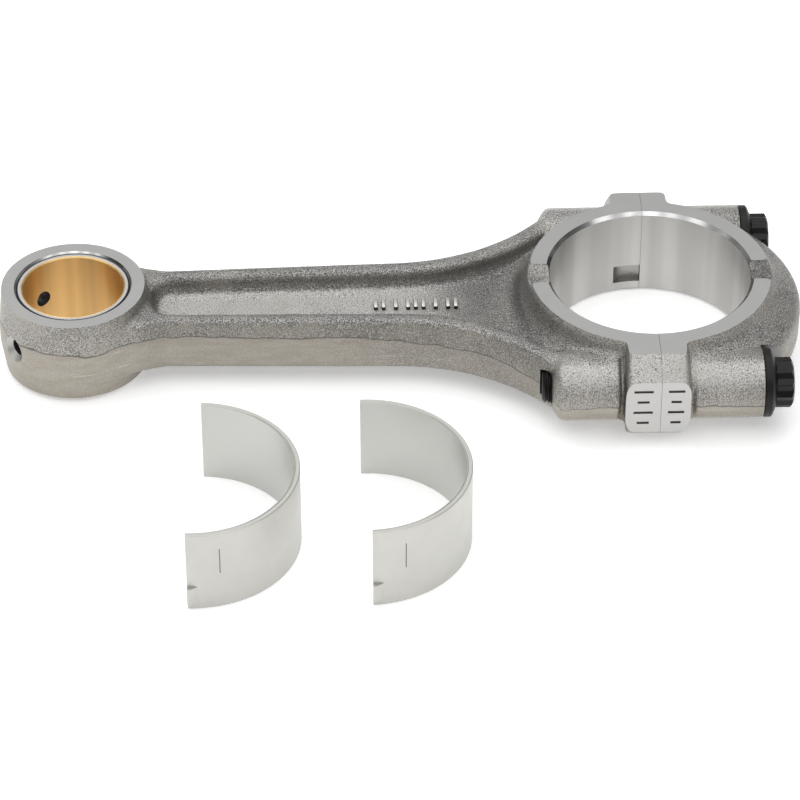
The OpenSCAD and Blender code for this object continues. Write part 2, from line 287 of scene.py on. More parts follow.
def combine(target, tool, operation):
    """Cuts a tool out of an object or adds it, and keeps the tool's materials on its faces."""
    change = target.modifiers.new("combine", "BOOLEAN")
    change.solver = "MANIFOLD"
    change.operation = operation
    change.material_mode = "TRANSFER"
    change.object = tool
    before = len(target.data.polygons)
    settle(target)
    bpy.data.objects.remove(tool, do_unlink=True)
    if not before or not target.data.polygons:
        raise RuntimeError(f"{target.name} vanished in a cut")


def cut(target, tool):
    """Machines a tool's shape out of an object."""
    combine(target, tool, "DIFFERENCE")


def add(target, tool):
    """Joins a tool's shape to an object."""
    combine(target, tool, "UNION")


def join(name, solids):
    """Gathers overlapping solids into one object, for rounding in voxels."""
    bm = bmesh.new()
    for part in solids:
        bm.from_mesh(part.data)
        bpy.data.objects.remove(part, do_unlink=True)
    mesh = bpy.data.meshes.new(name)
    bm.to_mesh(mesh)
    bm.free()
    obj = bpy.data.objects.new(name, mesh)
    bpy.context.collection.objects.link(obj)
    return obj


def block(first, second):
    """A box between two opposite corners."""
    bm = bmesh.new()
    low, high = Vector(map(min, first, second)), Vector(map(max, first, second))
    place = Matrix.Translation((low + high) / 2) @ Matrix.Diagonal((high - low).to_4d())
    bmesh.ops.create_cube(bm, size=1, matrix=place)
    return bm


def turned(profile, angle=math.tau, start=0.0, steps=ROUND):
    """A profile of (radius, height) points turned about Z, closed at its ends."""
    bm = bmesh.new()
    points = [bm.verts.new((r, 0, z)) for r, z in profile]
    for a, b in zip(points, points[1:]):
        bm.edges.new((a, b))
    if min(profile[0][0], profile[-1][0]) > 0:
        bm.edges.new((points[-1], points[0]))
    whole = math.isclose(angle, math.tau)
    swung(bm, start)
    geometry = bm.verts[:] + bm.edges[:]
    bmesh.ops.spin(
        bm, geom=geometry, cent=(0, 0, 0), axis=(0, 0, 1), angle=angle, steps=steps, use_merge=whole
    )
    bmesh.ops.remove_doubles(bm, verts=bm.verts, dist=WELD)
    if not whole:
        bmesh.ops.holes_fill(bm, edges=[edge for edge in bm.edges if edge.is_boundary])
    return bm


def disc(radius, low, high, steps=ROUND):
    """A round bar about Z between two heights."""
    return turned([(0, low), (radius, low), (radius, high), (0, high)], steps=steps)


def along_x(bm, y=0.0):
    """Lays a solid made about Z along X, on a bolt's axis."""
    bmesh.ops.rotate(bm, verts=bm.verts, cent=(0, 0, 0), matrix=Matrix.Rotation(math.pi / 2, 3, "Y"))
    bmesh.ops.translate(bm, verts=bm.verts, vec=(0, y, 0))
    return bm


def moved(bm, x=0.0, y=0.0, z=0.0):
    """Moves a solid."""
    bmesh.ops.translate(bm, verts=bm.verts, vec=(x, y, z))
    return bm


def swung(bm, angle):
    """Turns a solid about Z."""
    bmesh.ops.rotate(bm, verts=bm.verts, cent=(0, 0, 0), matrix=Matrix.Rotation(angle, 3, "Z"))
    return bm


def raised(bm, height):
    """Pulls the one face of a flat outline up into a prism."""
    made = bmesh.ops.extrude_face_region(bm, geom=bm.faces[:])["geom"]
    bmesh.ops.translate(
        bm, verts=[v for v in made if isinstance(v, bmesh.types.BMVert)], vec=(0, 0, height)
    )
    return bm


def rounded(bm, edges, radius, segments):
    """Rounds some edges of a solid."""
    bmesh.ops.recalc_face_normals(bm, faces=bm.faces)
    bmesh.ops.bevel(
        bm, geom=edges, offset=radius, segments=segments, profile=0.5, affect="EDGES", material=-1
    )


def paint(bm, rule):
    """Gives each face the material slot that a rule picks from its middle."""
    bm.normal_update()
    for face in bm.faces:
        face.material_index = rule(face.calc_center_median())
    return bm


def smooth_shading(obj, angle=34):
    """Shades an object smoothly except over edges sharper than an angle."""
    obj.data.shade_smooth()
    obj.data.set_sharp_from_angle(angle=math.radians(angle))


def present(obj, body, node):
    """Puts a finished piece on its body in place of its CAD node."""
    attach(obj, body)
    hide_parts(node)


# ---------------------------------------------------------------- shader helpers


class Field:
    """A shader socket that takes part in Python sums and products."""

    def __init__(self, finish, socket):
        self.finish = finish
        self.socket = socket

    def calculate(self, operation, *values):
        return self.finish.node("ShaderNodeMath", {"operation": operation}, *values)

    def __add__(self, other):
        return self.calculate("ADD", self, other)

    def __sub__(self, other):
        return self.calculate("SUBTRACT", self, other)

    def __rsub__(self, other):
        return self.calculate("SUBTRACT", other, self)

    def __mul__(self, other):
        return self.calculate("MULTIPLY", self, other)

    __radd__ = __add__
    __rmul__ = __mul__

    def size(self):
        return self.calculate("ABSOLUTE", self)


class Nodes:
    """A node tree under construction."""

    def __init__(self, tree):
        self.tree = tree
        tree.nodes.clear()

    def feed(self, node, values):
        """Sets or links sockets by name, with underscores for spaces, or by number."""
        for key, value in values.items():
            socket = node.inputs[key.replace("_", " ") if isinstance(key, str) else key]
            if isinstance(value, Field):
                self.tree.links.new(value.socket, socket)
            elif hasattr(socket.default_value, "__len__") and len(value) < len(socket.default_value):
                socket.default_value = (*value, 1)
            else:
                socket.default_value = value

    def node(self, kind, settings=None, *values, out=0, **named):
        """Adds a node: its settings first, then its sockets' values or links."""
        made = self.tree.nodes.new(kind)
        for key, value in (settings or {}).items():
            setattr(made, key, value)
        self.feed(made, dict(enumerate(values)))
        self.feed(made, named)
        return Field(self, made.outputs[out])

    def ease(self, value, low, high):
        """0 below low, 1 above high, and a soft step between."""
        settings = {"interpolation_type": "SMOOTHSTEP"}
        return self.node("ShaderNodeMapRange", settings, value, low, high, 0.0, 1.0)

    def axis(self, letter, vector=None):
        """One coordinate of a vector, the place by default."""
        return self.node("ShaderNodeSeparateXYZ", None, vector or self.place, out=letter)


class Finish(Nodes):
    """A material under construction: one Principled shader and the nodes that feed it."""

    def __init__(self, name, **fixed):
        self.material = bpy.data.materials.new(name)
        self.material.use_nodes = True
        super().__init__(self.material.node_tree)
        output = self.tree.nodes.new("ShaderNodeOutputMaterial")
        self.shader = self.tree.nodes.new("ShaderNodeBsdfPrincipled")
        self.tree.links.new(self.shader.outputs[0], output.inputs["Surface"])
        self.feed(self.shader, fixed)
        self.place = self.node("ShaderNodeTexCoord", out="Object")

    def noise(self, size, detail=3, rough=0.55, stretch=None):
        """Noise whose features are about a size in metres, drawn out by a stretch."""
        place = self.place
        if stretch:
            place = self.node("ShaderNodeMapping", None, place, Scale=stretch)
        return self.node(
            "ShaderNodeTexNoise", None, place, Scale=1 / size, Detail=detail, Roughness=rough
        )

    def cells(self, size):
        """Distance to the middle of the nearest cell of about a size in metres."""
        return self.node("ShaderNodeTexVoronoi", None, self.place, Scale=1 / size)

    def mix(self, factor, first, second):
        """A colour between two colours."""
        made = self.tree.nodes.new("ShaderNodeMix")
        made.data_type = "RGBA"
        self.feed(made, {0: factor, 6: first, 7: second})
        return Field(self, made.outputs[2])

    def bump(self, height, depth, strength=1.0, under=None):
        """A bump of a height field, of a depth in metres, over another bump."""
        layers = {"Normal": under} if under else {}
        return self.node(
            "ShaderNodeBump", None, Height=height, Distance=depth, Strength=strength, **layers
        )

    def done(self, **surface):
        """Feeds the shader and hands over the material."""
        self.feed(self.shader, surface)
        return self.material


def shade(tone, share):
    """A darker or lighter tone."""
    return tuple(channel * share for channel in tone)


def forged_skin(look):
    """Shot-blasted forging: peppered grain, warm stains, a smoother trimmed band, and painted light and
    shade by region.
    """
    skin = Finish("forged_skin", Metallic=0.92)
    grain = skin.noise(look.grain, detail=3, rough=0.7)
    fine = skin.noise(look.grain * 0.5, detail=2, rough=0.6)
    pits = skin.cells(look.grain * 1.6)
    patches = skin.noise(12 * MM, detail=4, rough=0.6)
    scuffs = skin.noise(1.8 * MM, detail=4, rough=0.65, stretch=(0.22, 0.22, 1))
    streaks = skin.noise(1.1 * MM, detail=2, stretch=(0.05, 0.05, 1))
    x, y, z = skin.axis("X"), skin.axis("Y"), skin.axis("Z")
    normal = skin.node("ShaderNodeNewGeometry", out="Normal")
    facing = skin.axis("Z", normal).size()
    side = 1 - skin.ease(facing, 0.35, 0.8)
    slope = 1 - skin.ease(facing, 0.72, 0.97)
    outward = skin.axis("Y", normal) * y.calculate("SIGN", y)

    # Where along the rod: shank, flare, bosses and crown.
    shank = skin.ease(x, SMALL_X + 17 * MM, SMALL_X + 24 * MM)
    before_boss = 1 - skin.ease(x, BOSS_END - 8 * MM, BOSS_END)
    flare = skin.ease(x, 0.605 * SMALL_X, 0.384 * SMALL_X) * before_boss
    near_ring = skin.ease(x, -CROWN_R - 28.7 * MM, -CROWN_R - 4.7 * MM)
    inside = (1 - skin.ease(outward, 0.12, 0.4)) * (1 - skin.ease(z.size(), 6.4 * MM, 8.0 * MM))
    inside = inside * shank * (1 - skin.ease(x, -8 * MM, 0.0))
    outside = shank * (1 - inside) * before_boss
    boss = skin.ease(y.size(), BOLT_Y + 0.5 * MM, BOLT_Y + 4.5 * MM) * (1 - side)
    crown = skin.ease(x, CROWN_R - 27.3 * MM, CROWN_R - 9.3 * MM) * (1 - boss)

    # The trimmed band round the side, its upper edge wandering with the stains.
    small_end = 1 - skin.ease(x, 0.558 * SMALL_X, 0.337 * SMALL_X)
    big_end = skin.ease(x, BOSS_END - 22 * MM, BOSS_END)
    edge_z = z + (big_end - small_end) * (2 * MM) + (patches - 0.5) * (4 * MM)
    edge_z = edge_z + (scuffs - 0.5) * (0.8 * MM)
    band = side * (1 - skin.ease(edge_z, 1.0 * MM, 1.3 * MM)) * (1 - flare * 0.55)
    seam = 1 - skin.ease((edge_z - 1.15 * MM).size(), 0.08 * MM, 0.32 * MM)

    # Grain made lighter or darker by region as painted light and shade: lighter on the channel floor and
    # the boss tops, darker on the channel walls, beside the ring, outside the channels (most on upright
    # faces) and on the crown.
    reach = inside * ((1 - slope) * (1 - near_ring) * 0.05 - slope * 0.05 - near_ring * 0.045)
    reach = reach + boss * 0.06 - outside * (0.02 + side * 0.025) - crown * 0.05
    peppered = grain * 0.65 + fine * 0.35 + (patches - 0.5) * 0.12 + reach
    pepper = skin.ease(peppered, 0.41, 0.59)
    rough_tone = skin.mix(pepper, look.forge_dark, look.forge_light)
    warm = side * 0.3 + skin.ease(patches, 0.48, 0.68) * 0.25
    rough_tone = skin.mix(warm, rough_tone, look.forge_warm)
    worn = skin.mix(skin.ease(scuffs, 0.35, 0.65), look.forge_warm, look.trim)
    worn = skin.mix(skin.ease(streaks, 0.66, 0.72) * 0.55, worn, look.forge_light)
    worn = skin.mix((1 - pepper) * 0.25, worn, look.forge_dark)
    tone = skin.mix(band * 0.94, rough_tone, worn)
    tone = skin.mix(side * seam * 0.6, tone, look.forge_dark)
    # Painted shade: the channel walls, the web beside the ring, the outside of the shank and the crown are
    # darkened towards the pit colour.
    painted_shade_share = inside * (slope * 0.26 + near_ring * 0.16) + outside * 0.08 + crown * 0.1
    tone = skin.mix(painted_shade_share, tone, look.forge_dark)
    relief = grain * 0.7 + fine * 0.3 - pits * 0.3
    coarse = skin.bump(band + patches * 0.8, 0.30 * MM)
    return skin.done(
        Base_Color=tone,
        Roughness=0.36 + pepper * 0.08 + band * 0.08,
        Normal=skin.bump(relief * (1 - band * 0.8), 0.34 * MM, under=coarse),
    )


def die_mark(look):
    """Raised marks on the web: forging tone on top, and painted shade darkening their sides."""
    mark = Finish("die_mark", Metallic=0.92)
    grain = mark.noise(look.grain, detail=3)
    facing = mark.axis("Z", mark.node("ShaderNodeNewGeometry", out="Normal"))
    top = mark.ease(facing.size(), 0.75, 0.95)
    forging_tone = mark.mix(grain * 0.5, look.forge_light, look.forge_warm)
    # Painted shade: faces that do not face up are darkened to half the pit colour.
    tone = mark.mix(top, shade(look.forge_dark, 0.5), forging_tone)
    return mark.done(
        Base_Color=tone, Roughness=0.36 + grain * 0.1, Normal=mark.bump(grain, 0.12 * MM)
    )


def ground_face(look):
    """Flat faces ground about the bore, with a fine grain and soft clouds."""
    face = Finish("ground_face", Metallic=0.92)
    fine = face.noise(0.25 * MM, detail=2)
    cloud = face.noise(9 * MM, detail=3)
    tone = face.mix(cloud, shade(look.ground, 0.92), look.ground)
    tone = face.mix(fine * 0.12, tone, look.bright)
    return face.done(
        Base_Color=tone,
        Roughness=0.34 + cloud * 0.06,
        Normal=face.bump(fine, 0.02 * MM, 0.6),
    )


def milled_pad(look):
    """Fresh milled flats on the pads, with faint straight cutter marks."""
    pad = Finish("milled_pad", Metallic=0.55)
    lines = pad.noise(0.22 * MM, detail=2, stretch=(0.12, 1, 1))
    cloud = pad.noise(4 * MM)
    tone = pad.mix(cloud * 0.4, look.pad, shade(look.pad, 0.85))
    return pad.done(
        Base_Color=tone,
        Roughness=0.40 + lines * 0.08,
        Normal=pad.bump(lines, 0.02 * MM, 0.6),
    )


def bright_chamfer(look):
    """Freshly cut chamfers."""
    edge = Finish("bright_chamfer", Metallic=1.0)
    fine = edge.noise(0.2 * MM, detail=2, stretch=(0.3, 0.3, 1))
    # Painted shade: dark patches along the ring break the chamfer's reflected highlight into segments.
    patches = edge.ease(edge.noise(15 * MM, detail=1, stretch=(1, 1, 0.05)), 0.49, 0.56)
    tone = edge.mix(fine * 0.3, look.bright, look.ground)
    tone = edge.mix(patches, tone, shade(look.ground, 0.42))
    return edge.done(
        Base_Color=tone, Roughness=0.13 + fine * 0.10, Normal=edge.bump(fine, 0.01 * MM, 0.4)
    )


def bored_wall(look):
    """Bored and honed walls, with fine lines round the bore, soft stains, and painted reflection bands."""
    wall = Finish("bored_wall", Metallic=0.95, Anisotropic=0.9, Anisotropic_Rotation=0.25)
    lines = wall.noise(0.32 * MM, detail=3, rough=0.7, stretch=(0.02, 0.02, 1))
    cloud = wall.noise(7 * MM, detail=3, stretch=(1, 1, 0.6))
    painted_reflection_bands = wall.ease(wall.noise(11 * MM, detail=2, stretch=(1, 1, 0.02)), 0.38, 0.62)
    tone = wall.mix(cloud * 0.4, look.bored, shade(look.bored, 0.86))
    # Painted reflection: upright bands darkened between lighter ones stand in for the banded reflections
    # in the bore.
    tone = wall.mix(painted_reflection_bands * 0.48, tone, shade(look.bored, 0.62))
    return wall.done(
        Base_Color=tone,
        Roughness=0.38 + lines * 0.06 + cloud * 0.05,
        Normal=wall.bump(lines, 0.04 * MM),
    )


def milled_pocket(look):
    """Floor of the tang notches, darkened as painted shade, with the cutter's steps."""
    pocket = Finish("milled_pocket", Metallic=0.9)
    lines = pocket.noise(0.4 * MM, detail=2, stretch=(0.3, 0.3, 1))
    # Painted shade: the bored tone darkened to between 45 and 80 percent.
    tone = pocket.mix(lines * 0.8, shade(look.bored, 0.45), shade(look.bored, 0.8))
    return pocket.done(
        Base_Color=tone, Roughness=0.30 + lines * 0.1, Normal=pocket.bump(lines, 0.05 * MM)
    )


def oily_hole(look):
    """Walls of small holes and gaps, painted near black as shade."""
    hole = Finish("oily_hole", Metallic=0.5)
    grain = hole.noise(0.8 * MM)
    # Painted shade: the match-mark colour and a darkened pit colour make holes and gaps near black.
    tone = hole.mix(grain, look.mark, shade(look.forge_dark, 0.7))
    return hole.done(
        Base_Color=tone, Roughness=0.35 + grain * 0.1, Normal=hole.bump(grain, 0.04 * MM)
    )


def parting_face(look):
    """Grained faces where the rod and the cap meet, dark at the line between them."""
    face = Finish("parting_face", Metallic=0.8)
    grain = face.noise(0.6 * MM, detail=4, rough=0.7)
    tone = face.mix(grain, look.forge_dark, look.ground)
    return face.done(
        Base_Color=tone, Roughness=0.5 + grain * 0.1, Normal=face.bump(grain, 0.12 * MM)
    )


def dark_mark(look):
    """Dark filling of the engraved marks."""
    mark = Finish("dark_mark")
    grain = mark.noise(0.3 * MM)
    tone = mark.mix(grain * 0.4, look.mark, look.forge_dark)
    return mark.done(Base_Color=tone, Roughness=0.6 + grain * 0.1)


def bronze_lining(look):
    """Fine-bored bronze, with painted reflection bands."""
    lining = Finish("bronze_lining", Metallic=1.0, Anisotropic=0.9, Anisotropic_Rotation=0.25)
    lines = lining.noise(0.3 * MM, detail=3, rough=0.7, stretch=(0.02, 0.02, 1))
    cloud = lining.noise(6 * MM, detail=3, stretch=(1, 1, 0.4))
    painted_reflection_bands = lining.ease(lining.noise(9 * MM, detail=2, stretch=(1, 1, 0.02)), 0.38, 0.62)
    tone = lining.mix(cloud * 0.4, look.bronze, shade(look.bronze, 0.86))
    # Painted reflection: upright bands darkened between lighter ones stand in for the banded reflections
    # in the bore.
    tone = lining.mix(painted_reflection_bands * 0.6, tone, shade(look.bronze, 0.66))
    return lining.done(
        Base_Color=tone,
        Roughness=0.38 + lines * 0.06,
        Normal=lining.bump(lines, 0.04 * MM),
    )


def turned_bush(look):
    """Turned steel of the bush's back."""
    bush = Finish("turned_bush", Metallic=0.95)
    fine = bush.noise(0.25 * MM, detail=2)
    tone = bush.mix(fine * 0.4, look.bush, look.ground)
    return bush.done(
        Base_Color=tone, Roughness=0.22 + fine * 0.1, Normal=bush.bump(fine, 0.02 * MM)
    )


def black_oxide(look):
    """Oiled black oxide: glossier on the head, browner and worn on flange and shank."""
    oxide = Finish("black_oxide", Specular_IOR_Level=0.25)
    grain = oxide.noise(0.5 * MM, detail=3)
    cloud = oxide.noise(3 * MM, detail=3)
    shank = 1 - oxide.ease(oxide.axis("X"), BOLT_HIGH.x - 5.6 * MM, BOLT_HIGH.x - 5.0 * MM)
    tone = oxide.mix(shank * (0.2 + cloud * 0.8), look.black, look.black_warm)
    tone = oxide.mix(oxide.ease(grain, 0.62, 0.78) * shank * 0.15, tone, look.forge_warm)
    return oxide.done(
        Base_Color=tone,
        Roughness=0.22 + shank * 0.16 + grain * 0.10,
        Normal=oxide.bump(grain, 0.04 * MM, 0.5),
    )


def flashed_back(look):
    """Tin-flashed back of a bearing shell, faintly mottled."""
    back = Finish("flashed_back", Metallic=0.85)
    cloud = back.noise(8 * MM, detail=4, rough=0.6)
    lines = back.noise(0.3 * MM, detail=2, stretch=(0.05, 0.05, 1))
    tone = back.mix(cloud * 0.7, look.shell_back, shade(look.shell_back, 0.86))
    return back.done(
        Base_Color=tone,
        Roughness=0.38 + cloud * 0.10,
        Normal=back.bump(lines, 0.02 * MM),
    )


def shell_surface(look):
    """Running surface of a bearing shell, with fine boring lines."""
    surface = Finish("shell_surface", Metallic=0.85)
    lines = surface.noise(0.28 * MM, detail=3, stretch=(0.03, 0.03, 1))
    cloud = surface.noise(10 * MM)
    tone = surface.mix(cloud * 0.4, look.shell_lining, shade(look.shell_lining, 0.9))
    return surface.done(
        Base_Color=tone,
        Roughness=0.34 + lines * 0.08,
        Normal=surface.bump(lines, 0.02 * MM),
    )


def scribed_line(look):
    """Scribed line on the back of a shell."""
    line = Finish("scribed_line", Metallic=0.8)
    grain = line.noise(0.3 * MM)
    tone = line.mix(grain, shade(look.shell_back, 0.3), shade(look.shell_back, 0.55))
    return line.done(Base_Color=tone, Roughness=0.45 + grain * 0.1)


def pale_floor(look):
    """Matt pale floor."""
    floor = Finish("pale_floor", Emission_Color=(1, 1, 1), Emission_Strength=0.34)
    grain = floor.noise(400 * MM)
    tone = floor.mix(grain * 0.3, look.floor, shade(look.floor, 0.99))
    return floor.done(Base_Color=tone, Roughness=0.85)


def studio(stage):
    """Soft studio: a bright ceiling, a paler back, dim walls and a few soft panels."""
    world = bpy.data.worlds.new("studio")
    world.use_nodes = True
    sky = Nodes(world.node_tree)
    sky.place = sky.node("ShaderNodeTexCoord", out="Generated")
    y, z = sky.axis("Y"), sky.axis("Z")
    glow = stage.walls + sky.ease(z, 0.55, 0.95) * stage.ceiling
    glow = glow + sky.ease(y, 0.1, 0.7) * sky.ease(z, 0.15, 0.5) * stage.back
    for turn, rise, half, power in (
        (-4, 54, 6, 1.6),
        (24, 50, 5, 1.6),
        (-30, 50, 5, 1.6),
        (58, 44, 8, 1.6),
        (-62, 44, 8, 1.4),
    ):
        turn, rise, half = map(math.radians, (turn, rise, half))
        flat = math.cos(rise)
        middle = (math.sin(turn) * flat, -math.cos(turn) * flat, math.sin(rise))
        near = sky.node(
            "ShaderNodeVectorMath", {"operation": "DOT_PRODUCT"}, sky.place, middle, out="Value"
        )
        glow = glow + sky.ease(near, math.cos(half * 1.2), math.cos(half * 0.8)) * power
    seen = sky.node("ShaderNodeLightPath", out="Is Camera Ray")
    glow = glow * (1 - seen) + seen
    light = sky.node("ShaderNodeBackground", None, (1, 1, 1), glow)
    output = sky.tree.nodes.new("ShaderNodeOutputWorld")
    sky.tree.links.new(light.socket, output.inputs["Surface"])
    return world


def material(maker, look):
    """The material that a maker makes, made once and shared."""
    return bpy.data.materials.get(maker.__name__) or maker(look)


# ---------------------------------------------------------------- forging blanks


def shank_outline(bm, forging, inset, start, z, spread=0.0, corner=0.0):
    """Draws the outline of the shank and its flare, its flanks moved inwards."""
    before = set(bm.edges)
    y0 = forging.shank_w / 2 - inset
    y1 = y0 + forging.shank_taper - spread
    knee_x = -forging.rod_boss_l - forging.flare_start
    radius = forging.flare_r + inset + spread
    first = bm.verts.new((start, y0 - corner, z))
    tip = first
    if corner:
        tip = swept(bm, first, (start + corner, y0 - corner, z), -math.pi / 2, 6)
    knee = bm.verts.new((knee_x, y1, z))
    bm.edges.new((tip, knee))
    angle = min(math.acos(1 - min((BOLT_Y - y1) / radius, 1)), math.asin(min(-knee_x / radius, 1)))
    tip = swept(bm, knee, (knee_x, y1 + radius, z), angle, 32)
    last = bm.verts.new((0, tip.co.y, z))
    bm.edges.new((tip, last))
    return mirrored_outline(bm, before, first, last)


def neck_outline(bm, forging, inset, z):
    """Draws the outline of the curved fillets that lead the flanks into the small end."""
    before = set(bm.edges)
    y0 = forging.shank_w / 2 - inset
    ring = SMALL_R - inset
    centre_y = y0 + forging.neck_r
    reach = math.sqrt((ring + forging.neck_r) ** 2 - centre_y**2)
    share = forging.neck_r / (ring + forging.neck_r)
    first = bm.verts.new((SMALL_X + reach, y0, z))
    angle = math.atan2(reach * share, centre_y * share)
    last = swept(bm, first, (SMALL_X + reach, centre_y, z), -angle, 24)
    return mirrored_outline(bm, before, first, last)


def swept(bm, vert, centre, angle, steps):
    """Sweeps a point round a centre and gives the arc's last point."""
    arc = bmesh.ops.spin(
        bm, geom=[vert], cent=centre, axis=(0, 0, 1), angle=angle, steps=steps
    )
    return next(item for item in arc["geom_last"] if isinstance(item, bmesh.types.BMVert))


def mirrored_outline(bm, before, first, last):
    """Mirrors the half outline drawn since, closes it and gives its edges."""
    edges = [edge for edge in bm.edges if edge not in before]
    verts = {vert for edge in edges for vert in edge.verts}
    twins = bmesh.ops.mirror(bm, geom=[*verts, *edges], axis="Y", merge_dist=-1)["geom"]
    twins = [item for item in twins if isinstance(item, bmesh.types.BMVert) and item not in verts]
    for vert in (first, last):
        twin = min(twins, key=lambda other: (other.co.x - vert.co.x) ** 2 + (other.co.y + vert.co.y) ** 2)
        bm.edges.new((vert, twin))
    return [edge for edge in bm.edges if edge not in before]


def lofted(outline, sections):
    """A solid through outlines that are drawn at (inset, height) sections."""
    bm = bmesh.new()
    loops = [outline(bm, inset, z) for inset, z in sections]
    for low, high in zip(loops, loops[1:]):
        bmesh.ops.bridge_loops(bm, edges=low + high)
    bmesh.ops.holes_fill(bm, edges=[edge for edge in bm.edges if edge.is_boundary])
    return bm


def channel_tool(forging, side):
    """Cutter for one channel: round ends, a hollow bottom and flared lips."""
    tip = SMALL_X + SMALL_R + forging.channel_gap
    web, top, rib = forging.web_t / 2, forging.shank_t / 2, forging.rib_w
    depth = top - web

    def outline(bm, inset, z):
        start = tip + inset - rib
        return shank_outline(
            bm, forging, inset, start, z, forging.rib_spread, forging.channel_corner
        )

    sections = [
        (rib + out * MM, web + up * depth)
        for out, up in (
            (4.6, -0.05), (2.6, 0.0), (1.2, 0.12), (0.4, 0.32), (0.0, 0.58), (-0.2, 0.8),
            (-0.7, 0.96), (-1.6, 1.1), (-1.8, 1.8),
        )
    ]
    bm = lofted(outline, sections)
    if side < 0:
        bmesh.ops.scale(bm, vec=(1, 1, -1), verts=bm.verts)
    return solid("channel_tool", bm)


def ring_profile(forging, side):
    """Section of the ring round the housing bore: hollow below the rod's face, arched on the cap."""
    face_r = HOUSING_R + forging.thrust_w
    edge_r = face_r + forging.ring_step
    edge_z = HALF_T - forging.ring_step
    half = [(0, HALF_T + forging.stock), (face_r, HALF_T + forging.stock), (face_r, HALF_T)]
    if side < 0:
        web = forging.web_t / 2
        for step in range(9):
            turn = math.radians(90 * step / 8)
            out = forging.ring_fillet * (1 - math.cos(turn))
            half.append((edge_r + out, web + (edge_z - web) * (1 - math.sin(turn))))
    else:
        for out, up in ((0, 1), (0.06, 0.8), (0.2, 0.64), (0.46, 0.5), (0.74, 0.36), (0.93, 0.17), (1, 0)):
            width, drop = CROWN_R - edge_r, edge_z - forging.skirt_h
            half.append((edge_r + width * out, forging.skirt_h + drop * up))
    return half + [(r, -z) for r, z in reversed(half)]


def ring_blank(forging, side):
    """Ring of the big end with stock on its faces, less the rough grooves."""
    ring = solid("ring_blank", turned(ring_profile(forging, side)))
    reach = CROWN_R + 2 * OVER
    for way in (-1, 1):
        low = (side * (HOUSING_R - OVER), -forging.groove_w / 2, way * (HALF_T - forging.groove_depth))
        high = (side * reach, forging.groove_w / 2, way * (HALF_T + 2 * forging.stock))
        cut(ring, solid("groove_tool", block(low, high)))
    limit = 2 * CROWN_R
    low = (-side * forging.stock, -limit, -limit)
    cut(ring, solid("half_tool", block(low, (-side * limit, limit, limit))))
    return ring


def pad_width(forging, side):
    """Width of the milled pad on one half."""
    return forging.rod_pad_w if side < 0 else forging.cap_pad_w


def boss_blanks(forging, side, reach):
    """Bolt bosses of one half, with a narrow valley beside the pad."""
    boss_r = FLANGE_R + forging.boss_margin
    core_r = boss_r - forging.boss_valley
    valley = pad_width(forging, side) + forging.boss_valley_w
    taper = forging.boss_taper
    blanks = []
    for way in (-1, 1):
        if side < 0:
            shape = [(0, reach), (boss_r - 1.6 * taper, reach), (boss_r, reach - taper)]
        else:
            shape = [(0, reach), (boss_r, reach)]
        for outline in (
            [*shape, (boss_r, valley), (0, valley)],
            [(0, reach - OVER), (core_r, reach - OVER), (core_r, -forging.stock), (0, -forging.stock)],
        ):
            bm = turned([(r, side * x) for r, x in outline], steps=96)
            blanks.append(solid("boss_blank", along_x(bm, way * BOLT_Y)))
    return blanks


def pad_blanks(forging, side):
    """Lugs beside the parting line, from the thrust face out to the milled pads."""
    blanks = []
    w, h = pad_width(forging, side), forging.pad_h / 2
    cut_w, cut_h = forging.pad_corner_w, forging.pad_corner_h
    start, stock = -forging.stock, forging.stock
    slope = (HALF_T - h) / forging.pad_step
    top = h - stock * slope
    flat = [(start, top), (w - cut_w, top), (w, h - cut_h)]
    plate = [(start, HALF_T + stock), (w - 1.2 * MM, HALF_T + stock)]
    for way in (-1, 1):
        bm = bmesh.new()
        for outline, y in (
            (flat, PAD_Y + stock),
            (plate, PAD_Y - forging.pad_step - stock / slope),
            (plate, 0),
        ):
            for x, z in outline:
                bm.verts.new((side * x, way * y, z))
                bm.verts.new((side * x, way * y, -z))
        bmesh.ops.convex_hull(bm, input=bm.verts[:])
        bmesh.ops.delete(bm, geom=[v for v in bm.verts if not v.link_faces], context="VERTS")
        blanks.append(solid("pad_blank", bm))
    return blanks


def rounded_forging(name, blanks, forging, skin):
    """Melts overlapping blanks into one rounded, slightly uneven forging."""
    forged = join(name, blanks)
    melt = forged.modifiers.new("melt", "REMESH")
    melt.mode = "VOXEL"
    melt.voxel_size = forging.voxel * 1
    soften = forged.modifiers.new("soften", "SMOOTH")
    soften.iterations = forging.rounding // 1
    waves = bpy.data.textures.new(name + "_waves", "CLOUDS")
    waves.noise_scale = 7 * MM
    waves.noise_depth = 3
    wander = forged.modifiers.new("wander", "DISPLACE")
    wander.texture = waves
    wander.texture_coords = "LOCAL"
    wander.strength = forging.unevenness
    wander.mid_level = 0.72
    settle(forged)
    forged.data.materials.clear()
    forged.data.materials.append(skin)
    return forged


# ---------------------------------------------------------------- machining tools


def bore_tool(radius, half, chamfer, wall, edge, centre_x=0.0):
    """Boring tool about Z with a chamfer at both ends: its wall, then its chamfers."""
    out = radius + chamfer + OVER
    bm = turned(
        [
            (0, -half - OVER),
            (out, -half - OVER),
            (radius, -half + chamfer),
            (radius, half - chamfer),
            (out, half + OVER),
            (0, half + OVER),
        ]
    )
    paint(bm, lambda middle: 0 if abs(middle.z) < half - chamfer else 1)
    return solid("bore_tool", moved(bm, x=centre_x), wall, edge)


def face_tool(first, second, finish):
    """Milling tool: a box with a finish."""
    return solid("face_tool", block(first, second), finish)


def drill(radius, low, high, y, finish):
    """Drill along X on a bolt's axis."""
    return solid("drill", along_x(disc(radius, low, high, 96), y), finish)


